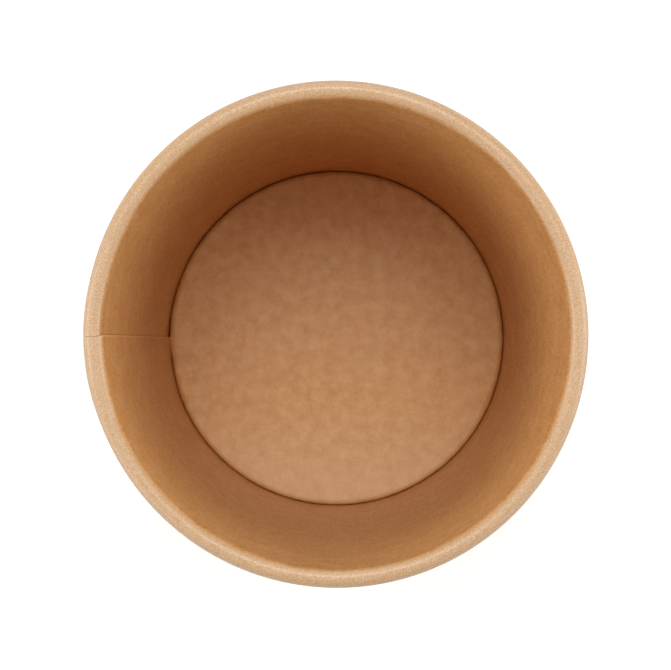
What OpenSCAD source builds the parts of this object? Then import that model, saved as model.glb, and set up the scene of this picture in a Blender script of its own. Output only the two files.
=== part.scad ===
// Round paper soup container, open at the top.
// One board blank is wrapped into the tapered side wall and lapped over itself at the seam. Its upper edge is
// rolled outwards into the rim and its lower edge is folded in and up, around the skirt of a recessed base disc.
// Origin at the middle of the foot, on the table. +Z up. The inner edge of the side seam is in the plane y = 0,
// at -X, and the lap lies on the -Y side of it.

/* [Overall size] */
// Height from the table to the top of the rolled rim
height = 99; // [60:1:140]
// Diameter across the rolled rim, away from the seam
rim_d = 98; // [88:1:118]
// Diameter across the foot
foot_d = 75; // [62:1:88]

/* [Side wall] */
// Thickness of the side wall's board
board_t = 0.45; // [0.35:0.01:0.6]
// Width of the rolled rim's section
bead_w = 3.7; // [2.9:0.1:4.5]
// Air gap between the turns of the roll
curl_gap = 0.08; // [0.04:0.01:0.14]
// Angle of the last half turn, which is hidden in the roll
curl_end = 120; // [40:5:150]

/* [Side seam] */
// Width of the lap, measured round the rim
lap_w = 6.8; // [4:0.1:12]
// How far the two boards of the lap are pressed into each other
lap_squeeze = 0.05; // [0.02:0.01:0.1]
// How far the roll stands proud of both boards at the lap
lap_proud = 0.03; // [0.02:0.01:0.06]

/* [Foot] */
// Height of the base disc's underside above the table
base_recess = 7.5; // [6:0.5:14]
// Gap between the hem's cut edge and the base disc's underside
hem_gap = 1.2; // [0.6:0.1:3]
// Depth to which the fold is ironed flat where it stands
foot_press = 0.1; // [0.05:0.01:0.2]

/* [Base disc] */
// Thickness of the base disc's board
base_t = 0.4; // [0.3:0.01:0.55]
// Outer radius of the bend between the disc and its skirt
bend_r = 0.8; // [0.7:0.1:1.6]
// Gap between the skirt's lower edge and the inside of the fold
skirt_gap = 0.5; // [0.2:0.1:2]
// Thickness of the bond between the skirt and the boards that clamp it at the lap
bond_gap = 0.03; // [0.02:0.01:0.06]

/* [Hidden] */
$fn = 96;

// The wrap: going once round, the board moves out by one squeezed thickness, in two half turns about axes
// that stand half that distance apart on the seam's own plane.
lap_step = board_t - lap_squeeze;
axis_shift = lap_step / 4;
lap_angle = 360 * lap_w / (PI * rim_d);

// The roll, with its centre in the section's plane
bead_r = bead_w / 2;
bead_cr = rim_d / 2 - bead_r;
bead_cz = height - bead_r;
curl_pitch = board_t + curl_gap;
curl_core = bead_r - curl_pitch - board_t;

// The slot for the skirt, and the fold round it. The lap narrows the slot by half a step on each side.
skirt_clear = lap_step / 2 + bond_gap;
slot_w = base_t + 2 * skirt_clear;
fold_r = slot_w / 2 + board_t;
fold_cr = foot_d / 2 - fold_r;
fold_cz = fold_r - foot_press;

// The wall runs straight from the outside of the fold to the inside of the roll, tangent to both.
rise = bead_cz - fold_cz;
spread = bead_cr - fold_cr;
reach = norm([spread, rise]);
tangent_sum = fold_r + bead_r - board_t;
taper = atan2(spread, rise) - asin(tangent_sum / reach);
wall_len = sqrt(reach * reach - tangent_sum * tangent_sum);

// Distances across the board from the roll's centre: 0 is that centre, and inwards is negative.
wall_in = -bead_r;
fold_mid = wall_in + board_t - fold_r;
hem_in = fold_mid - fold_r;
skirt_out = wall_in - skirt_clear;

base_top = base_recess + base_t;
bend_cz = base_top - bend_r;
bend_steps = 12;

// Radius at height z of a line that runs parallel to the wall, x across from the roll's centre
function line_r(x, z) = bead_cr + x / cos(taper) + (z - bead_cz) * tan(taper);

// Distance along the wall, up from the roll's centre, of a point x across at height z
function line_y(x, z) = (z - bead_cz + x * sin(taper)) / cos(taper);

// Ring of one thickness, of which only the half above or below its centre is kept
module half_ring(r, thick, upper) {
    intersection() {
        difference() {
            circle(r);
            circle(r - thick);
        }
        translate([-2 * r, upper ? 0 : -2 * r]) square([4 * r, 2 * r]);
    }
}

// Rolled rim in section: three half turns, each half a pitch smaller than the one before
module curl() {
    half_ring(bead_r, board_t, true);
    translate([curl_pitch / 2, 0]) half_ring(bead_r - curl_pitch / 2, board_t, false);
    difference() {
        half_ring(bead_r - curl_pitch, board_t, true);
        rotate(180 - curl_end) translate([-bead_w, -2 * bead_w]) square(2 * bead_w);
    }
}

// One board from the end of the roll to the cut edge of the hem, in section
module board_section() {
    hem_len = wall_len + line_y(hem_in, base_recess - hem_gap);
    intersection() {
        translate([bead_cr, bead_cz]) rotate(-taper) {
            curl();
            translate([wall_in, -wall_len]) square([board_t, wall_len]);
            translate([fold_mid, -wall_len]) half_ring(fold_r, board_t, false);
            translate([hem_in, -wall_len]) square([board_t, hem_len]);
        }
        square([rim_d, 2 * height]);
    }
}

// Turns a section about an axis moved along X. The section is shifted the other way, so that both half turns
// pass through the same place at +X.
module wrap(shift, start, sweep, move = 0) {
    translate([shift, 0, 0])
        rotate_extrude(angle = sweep, start = start)
            translate([-shift + move, 0]) children();
}

module side_wall() {
    color("#c8976a") {
        // first half turn from the seam's inner edge, with the lap over its beginning
        union() {
            wrap(axis_shift, 180, 180) board_section();
            wrap(-axis_shift, 180, lap_angle) board_section();
            // the roll at the lap, where two boards are rolled together
            wrap(-axis_shift, 180, lap_angle, -2 * axis_shift)
                translate([bead_cr, bead_cz]) difference() {
                    circle(bead_r + lap_step / 2 + lap_proud);
                    circle(curl_core - lap_step / 2 - lap_proud);
                }
        }
        // second half turn, up to the lap
        wrap(-axis_shift, 0, 180) board_section();
    }
}

// Points round the disc's bend, from the plate's face to the skirt's, or back if turned
function bend_points(r, turned = false) =
    let (cx = line_r(skirt_out - bend_r, bend_cz))
    [for (i = [0:bend_steps])
        let (turn = (90 + taper) * (turned ? bend_steps - i : i) / bend_steps)
        [cx + r * sin(turn), bend_cz + r * cos(turn)]];

// Base disc in section: the plate, the bend and the skirt that runs down parallel to the wall
module base_section() {
    skirt_end = fold_cz - slot_w / 2 + skirt_gap;
    polygon(concat(
        [[0, base_top]],
        bend_points(bend_r),
        [for (x = [skirt_out, skirt_out - base_t]) [line_r(x, skirt_end), skirt_end]],
        bend_points(bend_r - base_t, true),
        [[0, base_recess]]
    ));
}

module base_disc() {
    color("#c0926a") rotate_extrude() base_section();
}

side_wall();
base_disc();
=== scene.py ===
import ast
import math

import bpy
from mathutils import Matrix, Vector


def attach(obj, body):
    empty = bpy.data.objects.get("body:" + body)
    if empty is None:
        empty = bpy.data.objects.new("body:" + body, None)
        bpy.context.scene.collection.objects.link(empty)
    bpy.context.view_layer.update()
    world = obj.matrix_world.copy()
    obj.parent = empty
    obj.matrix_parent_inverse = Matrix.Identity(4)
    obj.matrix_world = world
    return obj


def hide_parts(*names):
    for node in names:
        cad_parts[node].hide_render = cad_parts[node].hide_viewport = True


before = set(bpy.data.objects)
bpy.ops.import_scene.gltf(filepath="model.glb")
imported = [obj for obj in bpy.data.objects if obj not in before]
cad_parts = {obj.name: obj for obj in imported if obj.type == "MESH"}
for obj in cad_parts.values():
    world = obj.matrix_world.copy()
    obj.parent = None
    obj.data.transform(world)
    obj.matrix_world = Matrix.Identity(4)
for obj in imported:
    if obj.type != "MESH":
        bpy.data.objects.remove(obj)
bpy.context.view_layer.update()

scene = bpy.context.scene
scene.view_settings.view_transform = "Standard"


# Small helpers

def metres(millimetres):
    return millimetres / 1000


def linearColour(hexText):
    parts = [int(hexText[i:i + 2], 16) / 255 for i in (1, 3, 5)]
    return [p / 12.92 if p <= 0.04045 else ((p + 0.055) / 1.055) ** 2.4 for p in parts] + [1.0]


# Adds a node with its settings. inputs has what goes into it, by name or number: a value, a socket or a node.
def addNode(tree, kind, settings=None, inputs=None):
    node = tree.nodes.new(kind)
    for name, value in (settings or {}).items():
        setattr(node, name, value)
    for key, value in (inputs or {}).items():
        if isinstance(value, bpy.types.Node):
            value = value.outputs[0]
        if isinstance(value, bpy.types.NodeSocket):
            tree.links.new(value, node.inputs[key])
        else:
            node.inputs[key].default_value = value
    return node


signs = {ast.Add: "ADD", ast.Sub: "SUBTRACT", ast.Mult: "MULTIPLY", ast.Div: "DIVIDE", ast.Mod: "MODULO"}
words = {"cos": "COSINE", "sin": "SINE", "least": "MINIMUM", "most": "MAXIMUM"}


# Turns one formula into nodes. known has the sockets that its names stand for. ease(x, a, b) rises smoothly from 0
# to 1 as x goes from a to b.
def growFormula(tree, part, known):
    if isinstance(part, ast.Constant):
        return part.value
    if isinstance(part, ast.Name):
        return known[part.id]
    if isinstance(part, ast.UnaryOp):
        terms, settings, kind = [0.0, part.operand], {"operation": "SUBTRACT"}, "ShaderNodeMath"
    elif isinstance(part, ast.Call) and part.func.id == "ease":
        terms, settings, kind = part.args, {"interpolation_type": "SMOOTHSTEP"}, "ShaderNodeMapRange"
    elif isinstance(part, ast.Call):
        terms, settings, kind = part.args, {"operation": words[part.func.id]}, "ShaderNodeMath"
    else:
        terms, settings, kind = [part.left, part.right], {"operation": signs[type(part.op)]}, "ShaderNodeMath"
    values = [t if isinstance(t, float) else growFormula(tree, t, known) for t in terms]
    return addNode(tree, kind, settings, dict(enumerate(values))).outputs[0]


def growFormulas(tree, formulas, known):
    for name, text in formulas.items():
        known[name] = growFormula(tree, ast.parse(text).body[0].value, known)
    return known


# Camera: looks almost straight down, from a little to the front of the middle

cameraSetup = {
    "heightMm": 636.7,  # above the table
    "acrossMm": -0.045,
    "frontMm": 5.53,
    "tiltDegrees": 0.566,
    "rollDegrees": 0.013,
    "focalPixels": 2803.0,
    "framePixels": 671,
    "sensorMm": 36,
}


def makeCamera(setup):
    data = bpy.data.cameras.new("camera")
    data.sensor_width = setup["sensorMm"]
    data.lens = data.sensor_width * setup["focalPixels"] / setup["framePixels"]
    camera = bpy.data.objects.new("camera", data)
    camera.location = [metres(v) for v in (setup["acrossMm"], -setup["frontMm"], setup["heightMm"])]
    camera.rotation_euler = (math.radians(setup["tiltDegrees"]), math.radians(setup["rollDegrees"]), 0)
    scene.collection.objects.link(camera)
    scene.camera = camera
    print("camera made")


makeCamera(cameraSetup)

# Materials

kraftWall = {
    "name": "polyCoatedKraftBoard",
    "coatedLight": "#deb077", "coatedDark": "#bf7c33",
    "rolledLight": "#deb995", "rolledDark": "#caa073",  # paler where the roll has stretched the board, and partly a painted sheen on the roll's top
    "bareLight": "#d0a67a", "bareDark": "#c2956b",
    "fleckDark": "#8f5c30", "cutEdge": "#d6b48c", "seamCatch": "#f4c88e", "seamShade": "#8a5226",
    # painted shade: a darker colour for the roll's outer flank, which faces away from the lamps
    "outerRollShade": "#8f6a42",
    "cloudMm": 4.0, "grainMm": 0.55, "rollGrainMm": 0.27, "fleckMm": 1.1,
    "cloudShare": 0.4, "grainShare": 0.72, "rollGrainShare": 1.6, "fleckShare": 0.12,
    "noiseBand": (0.3, 0.7),  # nearly all of the noise lies in it
    "fleckBand": (0.36, 0.28),  # only its lowest dips become specks
    "seamShare": 0.5, "outerRollShadeShare": 0.35,
    "fibreStretch": 2,  # along the wall's height
    "roughness": 0.4, "roughRolled": 0.3, "roughBare": 0.72, "ior": 1.5,
    "bumpMm": 0.04, "bumpRolled": 0.2,  # the film is smoother where the tool has rolled it
}

# the disc's board is paler than the wall's, partly as painted light for the light from above on the cup's floor
kraftBase = dict(kraftWall, name="polyCoatedKraftDisc", coatedLight="#facf91", coatedDark="#e6ae70",
                 cloudMm=2.7, cloudShare=0.88, grainMm=0.4, grainShare=0.45, fibreStretch=1.0, bumpMm=0.03,
                 # painted highlight: the disc gets a little paler towards the front, from one of these distances
                 # to the other, for the lamps' sheen there
                 pale="#f0d6b2", paleShare=0.42, paleMm=(14, 36))


# Unbleached kraft board with a thin film of polyethylene on the inside: warm brown, cloudy where the fibres lie
# thicker, with a fine fibre grain and a few darker specks, and satin where the film is. Real fibres are 0.02 mm
# across, too fine to show, so the grain is drawn as coarse as the tufts that they lie in.
def makeKraft(look):
    material = bpy.data.materials.new(look["name"])
    material.use_nodes = True
    tree = material.node_tree
    tree.nodes.clear()
    place = addNode(tree, "ShaderNodeTexCoord").outputs["Object"]
    squashed = (1, 1, 1 / look["fibreStretch"])
    fibres = addNode(tree, "ShaderNodeMapping", None, {"Vector": place, "Scale": squashed})

    def noise(size, detail, **more):
        inputs = {"Vector": place, "Scale": 1 / metres(look[size]), "Detail": detail, "Roughness": 0.6, **more}
        return addNode(tree, "ShaderNodeTexNoise", None, inputs).outputs["Fac"]

    def ramp(value, fromLow, fromHigh, toLow, toHigh):
        return addNode(tree, "ShaderNodeMapRange", None,
                       dict(enumerate((value, fromLow, fromHigh, toLow, toHigh)))).outputs[0]

    def spread(value, middle, share):
        return ramp(value, *look["noiseBand"], middle - share / 2, middle + share / 2)

    def mix(share, first, second):
        colours = [linearColour(c) if isinstance(c, str) else c for c in (first, second)]
        return addNode(tree, "ShaderNodeMix", {"data_type": "RGBA"},
                       {"Factor": share, 6: colours[0], 7: colours[1]}).outputs[2]

    read = {n: addNode(tree, "ShaderNodeAttribute", {"attribute_name": n}).outputs["Fac"]
            for n in ("coated", "rolled", "cutEdge", "seamLine", "outerRollShade")}
    grain = noise("grainMm", 2.0, Vector=fibres)
    fine = spread(noise("rollGrainMm", 1.0), 0.5, look["rollGrainShare"])
    thick = addNode(tree, "ShaderNodeMath", {"operation": "ADD", "use_clamp": True}, {
        0: spread(noise("cloudMm", 4.0), 0.5, look["cloudShare"]),
        1: spread(grain, 0.0, look["grainShare"])}).outputs[0]
    faces = {kind: mix(share, look[kind + "Dark"], look[kind + "Light"])
             for kind, share in (("coated", thick), ("rolled", fine), ("bare", thick))}
    fleck = ramp(noise("fleckMm", 1.0, Distortion=1.5), *look["fleckBand"], 0.0, look["fleckShare"])
    flecked = {kind: mix(fleck, faces[kind], look["fleckDark"]) for kind in ("coated", "bare")}
    # the roll's paler colour: partly the stretched board, partly a painted sheen
    paper = mix(read["rolled"], flecked["coated"], faces["rolled"])
    # painted highlight: the disc's colour turns paler towards the front
    if "paleShare" in look:
        forward = addNode(tree, "ShaderNodeSeparateXYZ", None, {0: place}).outputs[1]
        start, end = [-metres(v) for v in look["paleMm"]]
        paper = mix(ramp(forward, start, end, 0.0, look["paleShare"]), paper, look["pale"])
    paper = mix(read["coated"], flecked["bare"], paper)
    # the lap's edge: the cut fibres catch the light, and the board just before it is in its shade
    paper = mix(ramp(read["seamLine"], 0.0, 1.0, 0.0, look["seamShare"]), paper, look["seamCatch"])
    paper = mix(ramp(read["seamLine"], 0.0, -1.0, 0.0, look["seamShare"]), paper, look["seamShade"])
    # painted shade: darkens the roll's outer flank towards its rim
    paper = mix(ramp(read["outerRollShade"], 0.0, 1.0, 0.0, look["outerRollShadeShare"]), paper, look["outerRollShade"])
    paper = mix(read["cutEdge"], paper, look["cutEdge"])
    bump = addNode(tree, "ShaderNodeBump", None,
                   {"Strength": ramp(read["rolled"], 0.0, 1.0, 1.0, look["bumpRolled"]),
                    "Distance": metres(look["bumpMm"]), "Height": grain})
    satin = ramp(read["rolled"], 0.0, 1.0, look["roughness"], look["roughRolled"])
    shader = addNode(tree, "ShaderNodeBsdfPrincipled", None,
                     {"Base Color": paper, "Normal": bump, "IOR": look["ior"],
                      "Roughness": ramp(read["coated"], 0.0, 1.0, look["roughBare"], satin)})
    addNode(tree, "ShaderNodeOutputMaterial", None, {"Surface": shader})
    return material


wallBoard = makeKraft(kraftWall)
baseBoard = makeKraft(kraftBase)
print("materials made")

# Side wall: a flat blank that Geometry Nodes wraps, laps, rolls and folds

wall = {
    "heightMm": 98.97, "rimRadiusMm": 48.7, "footRadiusMm": 37.5, "boardMm": 0.45, "beadMm": 3.7,
    "slotMm": 0.86, "footPressMm": 0.1, "hemTopMm": 6.3,
    "rollTurnDegrees": 385, "rollPitchMm": 0.5,
    "lapDegrees": 7.6, "easeDegrees": 17, "tuckDegrees": 0.06, "lapInMm": 0.22, "lapOutMm": 0.22,
    "seamTurnDegrees": -0.37, "seamLeanDegrees": 0.6, "rollLeanDegrees": 0.44, "seamLineDegrees": 0.6,
    "lapLiftMm": 0.36, "lapLiftHeightMm": 12,
    "notchShare": 0.2, "notchDegrees": 4,
    "ovalMm": 0.172, "ovalDegrees": 10,  # at the rim, as the disc keeps the foot round
    "ribs": 84, "ribMm": 0.12,
    "unevenMm": 0.05, "waveScale": 1.3,
    # the blank's mesh: columns in one turn and over the lap, the close ones beside the seam, and rows in the hem,
    # the fold, the straight wall and the roll
    "turnColumns": 396, "lapColumns": 8,
    "seamColumnsDegrees": (0.03, 0.06, 0.09, 0.12, 0.2, 0.3, 0.42, 0.56, 0.72),
    "rows": (6, 12, 18, 46),
    "sharpDegrees": 40,
}


# The taper and the lengths of board between the bends, from the sizes above, in metres.
def solveSection(w):
    half = metres(w["boardMm"]) / 2
    rollRadius = metres(w["beadMm"]) / 2 - half
    foldRadius = metres(w["slotMm"]) / 2 + half
    rollR, rollZ = metres(w["rimRadiusMm"] - w["beadMm"] / 2), metres(w["heightMm"] - w["beadMm"] / 2)
    foldR = metres(w["footRadiusMm"]) - foldRadius - half
    foldZ = foldRadius + half - metres(w["footPressMm"])
    out, up = rollR - foldR, rollZ - foldZ
    reach = math.hypot(out, up)
    taper = math.atan2(out, up) - math.asin((foldRadius + rollRadius) / reach)
    wallLength = math.sqrt(reach ** 2 - (foldRadius + rollRadius) ** 2)
    hemLength = (metres(w["hemTopMm"]) - foldZ - foldRadius * math.sin(taper)) / math.cos(taper)
    startR = foldR - foldRadius * math.cos(taper) + hemLength * math.sin(taper)
    return {"foldRadius": foldRadius, "rollRadius": rollRadius, "taper": taper, "wallLength": wallLength,
            "hemLength": hemLength, "startR": startR, "startZ": metres(w["hemTopMm"]), "foldZ": foldZ}


# The blank as a flat slab: x is the angle round the container, y the distance up the board from the hem's cut
# edge, and z which face it is.
def makeBlank(w, section):
    turn, lap = math.tau, math.radians(w["lapDegrees"])
    near = [math.radians(d) for d in w["seamColumnsDegrees"]]
    even = [turn * i / w["turnColumns"] for i in range(1, w["turnColumns"])]
    columns = [0] + near + [c for c in even if near[-1] < c < turn - near[-1]]
    columns += [turn - n for n in reversed(near)] + [turn]
    columns += [turn + lap * i / w["lapColumns"] for i in range(1, w["lapColumns"] + 1)]
    foldLength = math.pi * section["foldRadius"]
    rollLength = math.radians(w["rollTurnDegrees"]) * section["rollRadius"]
    rows, start = [0.0], 0.0
    for length, steps in zip((section["hemLength"], foldLength, section["wallLength"], rollLength), w["rows"]):
        rows += [start + length * (i + 1) / steps for i in range(steps)]
        start += length
    count, last = len(rows), len(columns) - 1
    points = [(x, y, side) for side in (1, -1) for x in columns for y in rows]

    def at(side, i, j):
        return (0 if side > 0 else len(columns) * count) + i * count + j

    faces, coated, cut = [], [], []
    for i in range(last):
        for j in range(count - 1):
            faces.append((at(1, i, j), at(1, i, j + 1), at(1, i + 1, j + 1), at(1, i + 1, j)))
            faces.append((at(-1, i, j), at(-1, i + 1, j), at(-1, i + 1, j + 1), at(-1, i, j + 1)))
            coated += [1, 0]
            cut += [0, 0]
        for j, flip in ((0, False), (count - 1, True)):
            edge = (at(1, i, j), at(1, i + 1, j), at(-1, i + 1, j), at(-1, i, j))
            faces.append(edge[::-1] if flip else edge)
            coated.append(0)
            cut.append(1)
    for i, flip in ((0, True), (last, False)):
        for j in range(count - 1):
            edge = (at(1, i, j), at(1, i, j + 1), at(-1, i, j + 1), at(-1, i, j))
            faces.append(edge[::-1] if flip else edge)
            coated.append(0)
            cut.append(1)
    mesh = bpy.data.meshes.new("blank")
    mesh.from_pydata(points, [], faces)
    for name, values in (("coated", coated), ("cutEdge", cut)):
        mesh.attributes.new(name, "FLOAT", "FACE").data.foreach_set("value", [float(v) for v in values])
    return mesh


waveFormulas = {"waveX": "cos(around) * 2", "waveY": "sin(around) * 2", "waveZ": "along * 30"}

wallFormulas = {
    # how far the board is pushed in under the lap, out before it, and tucked under its edge
    "under": "1 - ease(around, lapAngle, lapAngle + easeAngle)",
    "over": "ease(around, turn - easeAngle, turn)",
    "tuck": "ease(around, turn - tuckAngle, turn)",
    "notch": "most(1 - ease(around, lapAngle, lapAngle + notchAngle), ease(around, turn - notchAngle, turn))",
    "wallOff": "lapOut * over - lapIn * under",
    "hemOff": "0 - board * tuck",
    "foldNow": "foldRadius + (wallOff - hemOff) / 2",
    "rollNow": "rollRadius + (lapIn + lapOut) / 2 * (under - tuck)",
    # how far along the hem, round the fold, up the wall and round the roll this point of the board is
    "hemPart": "least(along, hemLength)",
    "foldPart": "least(most(along - hemLength, 0), foldLength)",
    "wallPart": "least(most(along - hemLength - foldLength, 0), wallLength)",
    "rollPart": "most(along - hemLength - foldLength - wallLength, 0)",
    "foldTurn": "foldPart / foldLength * pi",
    "rollTurn": "rollPart / rollRadius * (1 - notchShare * notch)",
    "rollSize": "rollNow - rollPitch * ease(rollTurn, pi, pi * 2)",
    # the board's middle in section
    "foldAim": "pi - taper + foldTurn",
    "rollAim": "pi - taper - rollTurn",
    "midR": "startR + hemOff + sin(taper) * (wallPart - hemPart) + foldNow * (cos(foldAim) - cos(pi - taper))"
            " + rollSize * cos(rollAim) - rollNow * cos(pi - taper)",
    "midZ": "startZ + cos(taper) * (wallPart - hemPart) + foldNow * (sin(foldAim) - sin(pi - taper))"
            " + rollSize * sin(rollAim) - rollNow * sin(pi - taper)",
    "facing": "foldTurn - taper - rollTurn",
    # the hem's pressed ribs, which fade out towards its cut edge and the fold
    "ribbed": "ease(hemPart, 0, hemLength * 0.15) * (1 - ease(along, hemLength * 0.8, hemLength))",
    "rib": "rib * ribbed * (cos(around * ribs) - 1) / 2",
    "squeeze": "oval * cos((around - ovalAngle) * 2) * midZ / height",
    "offR": "midR + side * board / 2 * cos(facing) + rib + squeeze + uneven * (wave - 0.5)",
    "offZ": "midZ + side * board / 2 * sin(facing)",
    "lifted": "most(offZ + lapLift * most(under, tuck) * (1 - ease(offZ, 0, liftHeight)), 0)",
    "lean": "seamTurn + seamLean * wallPart / wallLength + rollLean * ease(rollTurn, 0, 1.5)",
    "x": "offR * cos(around + pi + lean)",
    "y": "offR * sin(around + pi + lean)",
    # for the material
    "rolled": "ease(rollTurn, 0.2, 1.1)",
    "outerRollShade": "ease(rollTurn, 2.15, 2.75)",  # painted shade on the roll's outer flank, which faces down and away from the lamps
    "seamLine": "(side + 1) / 2 * (1 - ease(around, 0, seamWidth) - ease(around, turn - seamWidth, turn))"
                " * (1 - ease(rollTurn, 0, 1))",
}


def makeWallTree(inputs, material):
    tree = bpy.data.node_groups.new("wrapBlank", "GeometryNodeTree")
    tree.interface.new_socket(name="Blank", in_out="INPUT", socket_type="NodeSocketGeometry")
    keys = {n: tree.interface.new_socket(name=n, in_out="INPUT", socket_type="NodeSocketFloat").identifier
            for n in inputs}
    tree.interface.new_socket(name="Wall", in_out="OUTPUT", socket_type="NodeSocketGeometry")
    given = addNode(tree, "NodeGroupInput")
    flat = addNode(tree, "ShaderNodeSeparateXYZ", None, {0: addNode(tree, "GeometryNodeInputPosition")})
    known = {n: given.outputs[n] for n in inputs}
    known.update(around=flat.outputs[0], along=flat.outputs[1], side=flat.outputs[2], pi=math.pi, turn=math.tau)
    known["foldLength"] = addNode(tree, "ShaderNodeMath", {"operation": "MULTIPLY"},
                                  {0: known["foldRadius"], 1: math.pi}).outputs[0]
    # slow unevenness round the wall, the same at the start and the end of a turn
    circle = growFormulas(tree, waveFormulas, dict(known))
    ring = addNode(tree, "ShaderNodeCombineXYZ", None, {i: circle[n] for i, n in enumerate(waveFormulas)})
    known["wave"] = addNode(tree, "ShaderNodeTexNoise", None,
                            {"Vector": ring, "Scale": known["waveScale"], "Detail": 2.0}).outputs[0]
    growFormulas(tree, wallFormulas, known)
    place = addNode(tree, "ShaderNodeCombineXYZ", None, {0: known["x"], 1: known["y"], 2: known["lifted"]})
    marked = given.outputs[0]
    for name in ("rolled", "seamLine", "outerRollShade"):
        marked = addNode(tree, "GeometryNodeStoreNamedAttribute", {"data_type": "FLOAT", "domain": "POINT"},
                         {"Geometry": marked, "Name": name, "Value": known[name]}).outputs[0]
    moved = addNode(tree, "GeometryNodeSetPosition", None, {"Geometry": marked, "Position": place})
    real = addNode(tree, "GeometryNodeRealizeInstances", None, {"Geometry": moved})
    dressed = addNode(tree, "GeometryNodeSetMaterial", None, {"Geometry": real, "Material": material})
    addNode(tree, "NodeGroupOutput", None, {0: dressed})
    return tree, keys


# Replaces an object's mesh with what its modifiers make, smooth but sharp at the cut edges.
def bakeShape(thing, sharpDegrees):
    graph = bpy.context.evaluated_depsgraph_get()
    shown = thing.evaluated_get(graph)
    mesh = bpy.data.meshes.new_from_object(shown, preserve_all_data_layers=True, depsgraph=graph)
    thing.modifiers.clear()
    thing.data = mesh
    mesh.name = thing.name
    mesh.shade_smooth()
    mesh.set_sharp_from_angle(angle=math.radians(sharpDegrees))


def makeWall(w):
    section = solveSection(w)
    sizes = {
        "foldRadius": section["foldRadius"], "rollRadius": section["rollRadius"], "taper": section["taper"],
        "wallLength": section["wallLength"], "hemLength": section["hemLength"],
        "startR": section["startR"], "startZ": section["startZ"],
        "height": metres(w["heightMm"]), "board": metres(w["boardMm"]), "rollPitch": metres(w["rollPitchMm"]),
        "lapAngle": math.radians(w["lapDegrees"]), "easeAngle": math.radians(w["easeDegrees"]),
        "tuckAngle": math.radians(w["tuckDegrees"]), "notchAngle": math.radians(w["notchDegrees"]),
        "notchShare": w["notchShare"],
        "lapIn": metres(w["lapInMm"]), "lapOut": metres(w["lapOutMm"]),
        "lapLift": metres(w["lapLiftMm"]), "liftHeight": metres(w["lapLiftHeightMm"]),
        "oval": metres(w["ovalMm"]), "ovalAngle": math.radians(w["ovalDegrees"] - 90),
        "ribs": w["ribs"], "rib": metres(w["ribMm"]),
        "uneven": metres(w["unevenMm"]), "waveScale": w["waveScale"],
        "seamTurn": math.radians(w["seamTurnDegrees"]), "seamLean": math.radians(w["seamLeanDegrees"]),
        "rollLean": math.radians(w["rollLeanDegrees"]), "seamWidth": math.radians(w["seamLineDegrees"]),
    }
    blank = makeBlank(w, section)
    wallPiece = bpy.data.objects.new("sideWall", blank)
    scene.collection.objects.link(wallPiece)
    tree, keys = makeWallTree(sizes, wallBoard)
    roll = wallPiece.modifiers.new("wrapBlank", "NODES")
    roll.node_group = tree
    for name, key in keys.items():
        roll[key] = float(sizes[name])
    bakeShape(wallPiece, w["sharpDegrees"])
    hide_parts("side_wall")
    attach(wallPiece, "root")
    print("side wall made:", len(wallPiece.data.polygons), "faces")
    return section


section = makeWall(wall)

# Base disc: a round blank whose edge is bent down into a skirt

base = {
    "topMm": 7.9, "boardMm": 0.4, "bendMm": 1.35, "gapMm": 0.09, "skirtEndMm": 1.0, "skirtGapMm": 0.1,
    "crownMm": 0.08, "crownTurn": 0.6,
    "pressMm": 0.4, "pressDegrees": (2, 6),  # the lap's inner edge is pressed against the disc
    "pressShare": 0.9,  # inside this share of its radius, the disc stays as it is
    "rings": (0.12, 0.25, 0.4, 0.55, 0.7, 0.82, 0.91, 0.97), "bendSteps": 9, "segments": 640,
    "sharpDegrees": 50,
}


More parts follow.
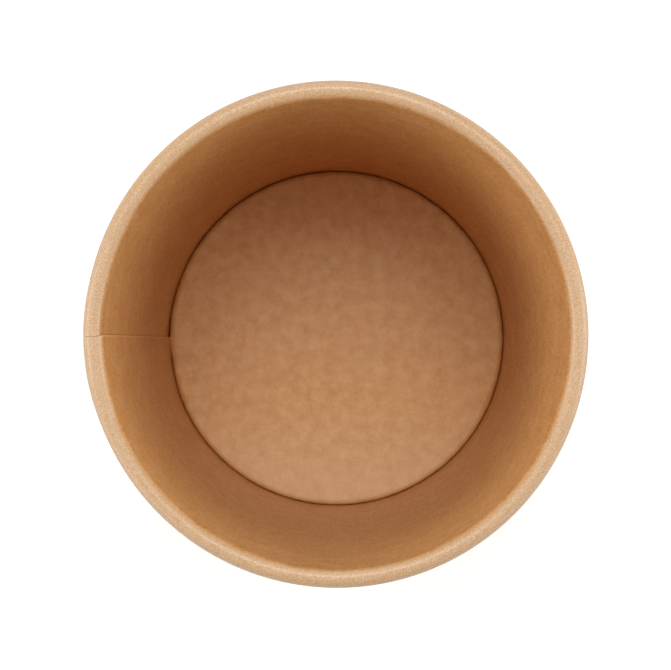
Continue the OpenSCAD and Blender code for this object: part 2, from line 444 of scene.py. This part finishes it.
def makeBase(b, w, section):
    taper, top = section["taper"], metres(b["topMm"])
    bend, board = metres(b["bendMm"]), metres(b["boardMm"])

    def wallInside(z):  # the wall's coated face, away from the lap
        slope = math.tan(taper)
        foot = section["startR"] - section["hemLength"] * math.sin(taper)
        return (foot + 2 * section["foldRadius"] * math.cos(taper) + (z - section["foldZ"]) * slope
                - metres(w["boardMm"]) / 2 / math.cos(taper))

    edge = wallInside(top - bend) - metres(b["gapMm"])
    centre = edge - bend
    turns = [math.radians(90 - 90 * i / b["bendSteps"]) for i in range(b["bendSteps"] + 1)]
    low = metres(b["skirtEndMm"])
    foot = wallInside(low) - metres(b["skirtGapMm"])
    outer = [(centre * f, top) for f in b["rings"]]
    outer += [(centre + bend * math.cos(t), top - bend + bend * math.sin(t)) for t in turns]
    outer += [(foot + (edge - foot) * f, low + (top - bend - low) * f) for f in (0.75, 0.5, 0.25, 0.0)]
    inner = [(foot - board, low)]
    inner += [(foot + (edge - foot) * f - board, low + (top - bend - low) * f) for f in (0.25, 0.5, 0.75)]
    inner += [(centre + (bend - board) * math.cos(t), top - bend + (bend - board) * math.sin(t))
              for t in reversed(turns)]
    inner += [(r, z - board) for r, z in reversed(outer[:len(b["rings"])])]
    profile = outer + inner
    count, n = len(profile), b["segments"]
    lap, easeOut = math.radians(w["lapDegrees"]), math.radians(w["easeDegrees"])
    pressFrom, pressTo = b["pressDegrees"]
    points = []
    for i in range(n):
        angle = math.tau * i / n
        around = (angle - math.pi) % math.tau
        part = min(max((around - lap) / easeOut, 0), 1)
        under = 1 - part * part * (3 - 2 * part)
        pressed = 1 - min(max((math.degrees(around) - pressFrom) / (pressTo - pressFrom), 0), 1)
        for r, z in profile:
            share = min(max((r / edge - b["pressShare"]) / (1 - b["pressShare"]), 0), 1)
            inward = (metres(w["lapInMm"]) * under - metres(b["pressMm"]) * pressed) * share
            crown = metres(b["crownMm"]) * (1 - (r / edge) ** 2) * math.cos(angle * 2 + b["crownTurn"])
            points.append(((r - inward) * math.cos(angle), (r - inward) * math.sin(angle), z - abs(crown)))
    points += [(0, 0, top), (0, 0, top - board)]
    faces = []
    for i in range(n):
        k = (i + 1) % n
        for j in range(count - 1):
            faces.append((i * count + j, i * count + j + 1, k * count + j + 1, k * count + j))
        faces.append((n * count, i * count, k * count))
        faces.append((n * count + 1, k * count + count - 1, i * count + count - 1))
    mesh = bpy.data.meshes.new("baseDisc")
    mesh.from_pydata(points, [], faces)
    coated = [0.0] * len(faces)
    for i in range(n):
        for j in range(count + 1):
            coated[i * (count + 1) + j] = 1.0 if j < len(outer) - 1 or j == count - 1 else 0.0
    mesh.attributes.new("coated", "FLOAT", "FACE").data.foreach_set("value", coated)
    mesh.materials.append(baseBoard)
    disc = bpy.data.objects.new("baseDisc", mesh)
    scene.collection.objects.link(disc)
    mesh.shade_smooth()
    mesh.set_sharp_from_angle(angle=math.radians(b["sharpDegrees"]))
    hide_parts("base_disc")
    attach(disc, "root")
    print("base disc made:", len(mesh.polygons), "faces")


makeBase(base, wall, section)

# Floor, backdrop and lamps

studio = {
    "floorMm": 4000, "floor": "#f4f4f2", "worldLight": 0.11,
    "glow": 0.37, "glowFar": 1.0, "glowMm": (200, 900),  # as seen, the far floor that the lamps miss is as white
}

lamps = {  # each looks at the container's upper part, from an azimuth counted from +X and an elevation in degrees
    "backHighSoftbox": {"azimuth": 90, "elevation": 70, "farMm": 1200, "sizeMm": (500, 300), "watts": 2.58},
    "backSoftbox": {"azimuth": 90, "elevation": 56, "farMm": 1200, "sizeMm": (500, 300), "watts": 1.95},
    "backLowSoftbox": {"azimuth": 90, "elevation": 20, "farMm": 1200, "sizeMm": (600, 400), "watts": 2.24},
    "leftSoftbox": {"azimuth": 178, "elevation": 28, "farMm": 1000, "sizeMm": (500, 450), "watts": 3.58},
    "rightSoftbox": {"azimuth": 2, "elevation": 26, "farMm": 1000, "sizeMm": (500, 420), "watts": 2.77},
    "rightLowSoftbox": {"azimuth": 0, "elevation": 9, "farMm": 1000, "sizeMm": (600, 250), "watts": 1.61},
    "leftHighSoftbox": {"azimuth": 165, "elevation": 66, "farMm": 1000, "sizeMm": (400, 400), "watts": 1.04},
    "rightHighSoftbox": {"azimuth": 15, "elevation": 66, "farMm": 1000, "sizeMm": (400, 400), "watts": 1.04},
    "leftFrontSoftbox": {"azimuth": -148, "elevation": 14,
                         "farMm": 1100, "sizeMm": (400, 350), "watts": 1.4},
    "rightFrontSoftbox": {"azimuth": -32, "elevation": 14,
                          "farMm": 1100, "sizeMm": (400, 350), "watts": 0.78},
    "leftFrontHighSoftbox": {"azimuth": -138, "elevation": 32,
                             "farMm": 1100, "sizeMm": (400, 350), "watts": 1.48},
    "rightFrontHighSoftbox": {"azimuth": -45, "elevation": 30,
                              "farMm": 1100, "sizeMm": (400, 350), "watts": 0.62},
}


def makeStudio(s):
    side = metres(s["floorMm"]) / 2
    mesh = bpy.data.meshes.new("floor")
    corners = [(-side, -side, 0), (side, -side, 0), (side, side, 0), (-side, side, 0)]
    mesh.from_pydata(corners, [], [(0, 1, 2, 3)])
    material = bpy.data.materials.new("palePaperSweep")
    material.use_nodes = True
    tree = material.node_tree
    tree.nodes.clear()
    ray = addNode(tree, "ShaderNodeLightPath")
    seen = addNode(tree, "ShaderNodeMath", {"operation": "MAXIMUM"},
                   {0: ray.outputs["Is Camera Ray"], 1: ray.outputs["Is Glossy Ray"]})
    seen = addNode(tree, "ShaderNodeMath", {"operation": "MAXIMUM"},
                   {0: seen, 1: ray.outputs["Is Transmission Ray"]})
    matt = addNode(tree, "ShaderNodeBsdfDiffuse", None, {"Color": linearColour(s["floor"])})
    far = addNode(tree, "ShaderNodeVectorMath", {"operation": "LENGTH"},
                  {0: addNode(tree, "ShaderNodeTexCoord").outputs["Object"]}).outputs["Value"]
    near, edge = [metres(v) for v in s["glowMm"]]
    fade = addNode(tree, "ShaderNodeMapRange", None, {0: far, 1: near, 2: edge, 3: s["glow"], 4: s["glowFar"]})
    glow = addNode(tree, "ShaderNodeEmission", None, {"Color": (1, 1, 1, 1), "Strength": fade})
    both = addNode(tree, "ShaderNodeAddShader", None, {0: matt, 1: glow})
    pick = addNode(tree, "ShaderNodeMixShader", None, {0: seen, 1: matt, 2: both})
    addNode(tree, "ShaderNodeOutputMaterial", None, {"Surface": pick})
    mesh.materials.append(material)
    floor = bpy.data.objects.new("floor", mesh)
    scene.collection.objects.link(floor)

    world = bpy.data.worlds.new("world")
    world.use_nodes = True
    scene.world = world
    tree = world.node_tree
    tree.nodes.clear()
    # glossy rays keep the lower light here, or a white sky would lie as a sheen on the satin film
    ray = addNode(tree, "ShaderNodeLightPath")
    seen = addNode(tree, "ShaderNodeMath", {"operation": "MAXIMUM"},
                   {0: ray.outputs["Is Camera Ray"], 1: ray.outputs["Is Transmission Ray"]})
    strength = addNode(tree, "ShaderNodeMapRange", None, {0: seen, 3: s["worldLight"], 4: 1.0})
    back = addNode(tree, "ShaderNodeBackground", None, {"Color": (1, 1, 1, 1), "Strength": strength.outputs[0]})
    addNode(tree, "ShaderNodeOutputWorld", None, {"Surface": back})
    print("studio made")


def makeLamps(setups, aimMm=70):
    aim = Vector((0, 0, metres(aimMm)))
    for name, lamp in setups.items():
        light = bpy.data.lights.new(name, "AREA")
        light.shape = "RECTANGLE"
        light.size, light.size_y = [metres(v) for v in lamp["sizeMm"]]
        light.energy = lamp["watts"]
        thing = bpy.data.objects.new(name, light)
        a, e = math.radians(lamp["azimuth"]), math.radians(lamp["elevation"])
        away = Vector((math.cos(a) * math.cos(e), math.sin(a) * math.cos(e), math.sin(e)))
        thing.location = aim + away * metres(lamp["farMm"])
        thing.rotation_euler = (-away).to_track_quat("-Z", "Y").to_euler()
        thing.visible_camera = False
        scene.collection.objects.link(thing)
    print("lamps made")


makeStudio(studio)
makeLamps(lamps)
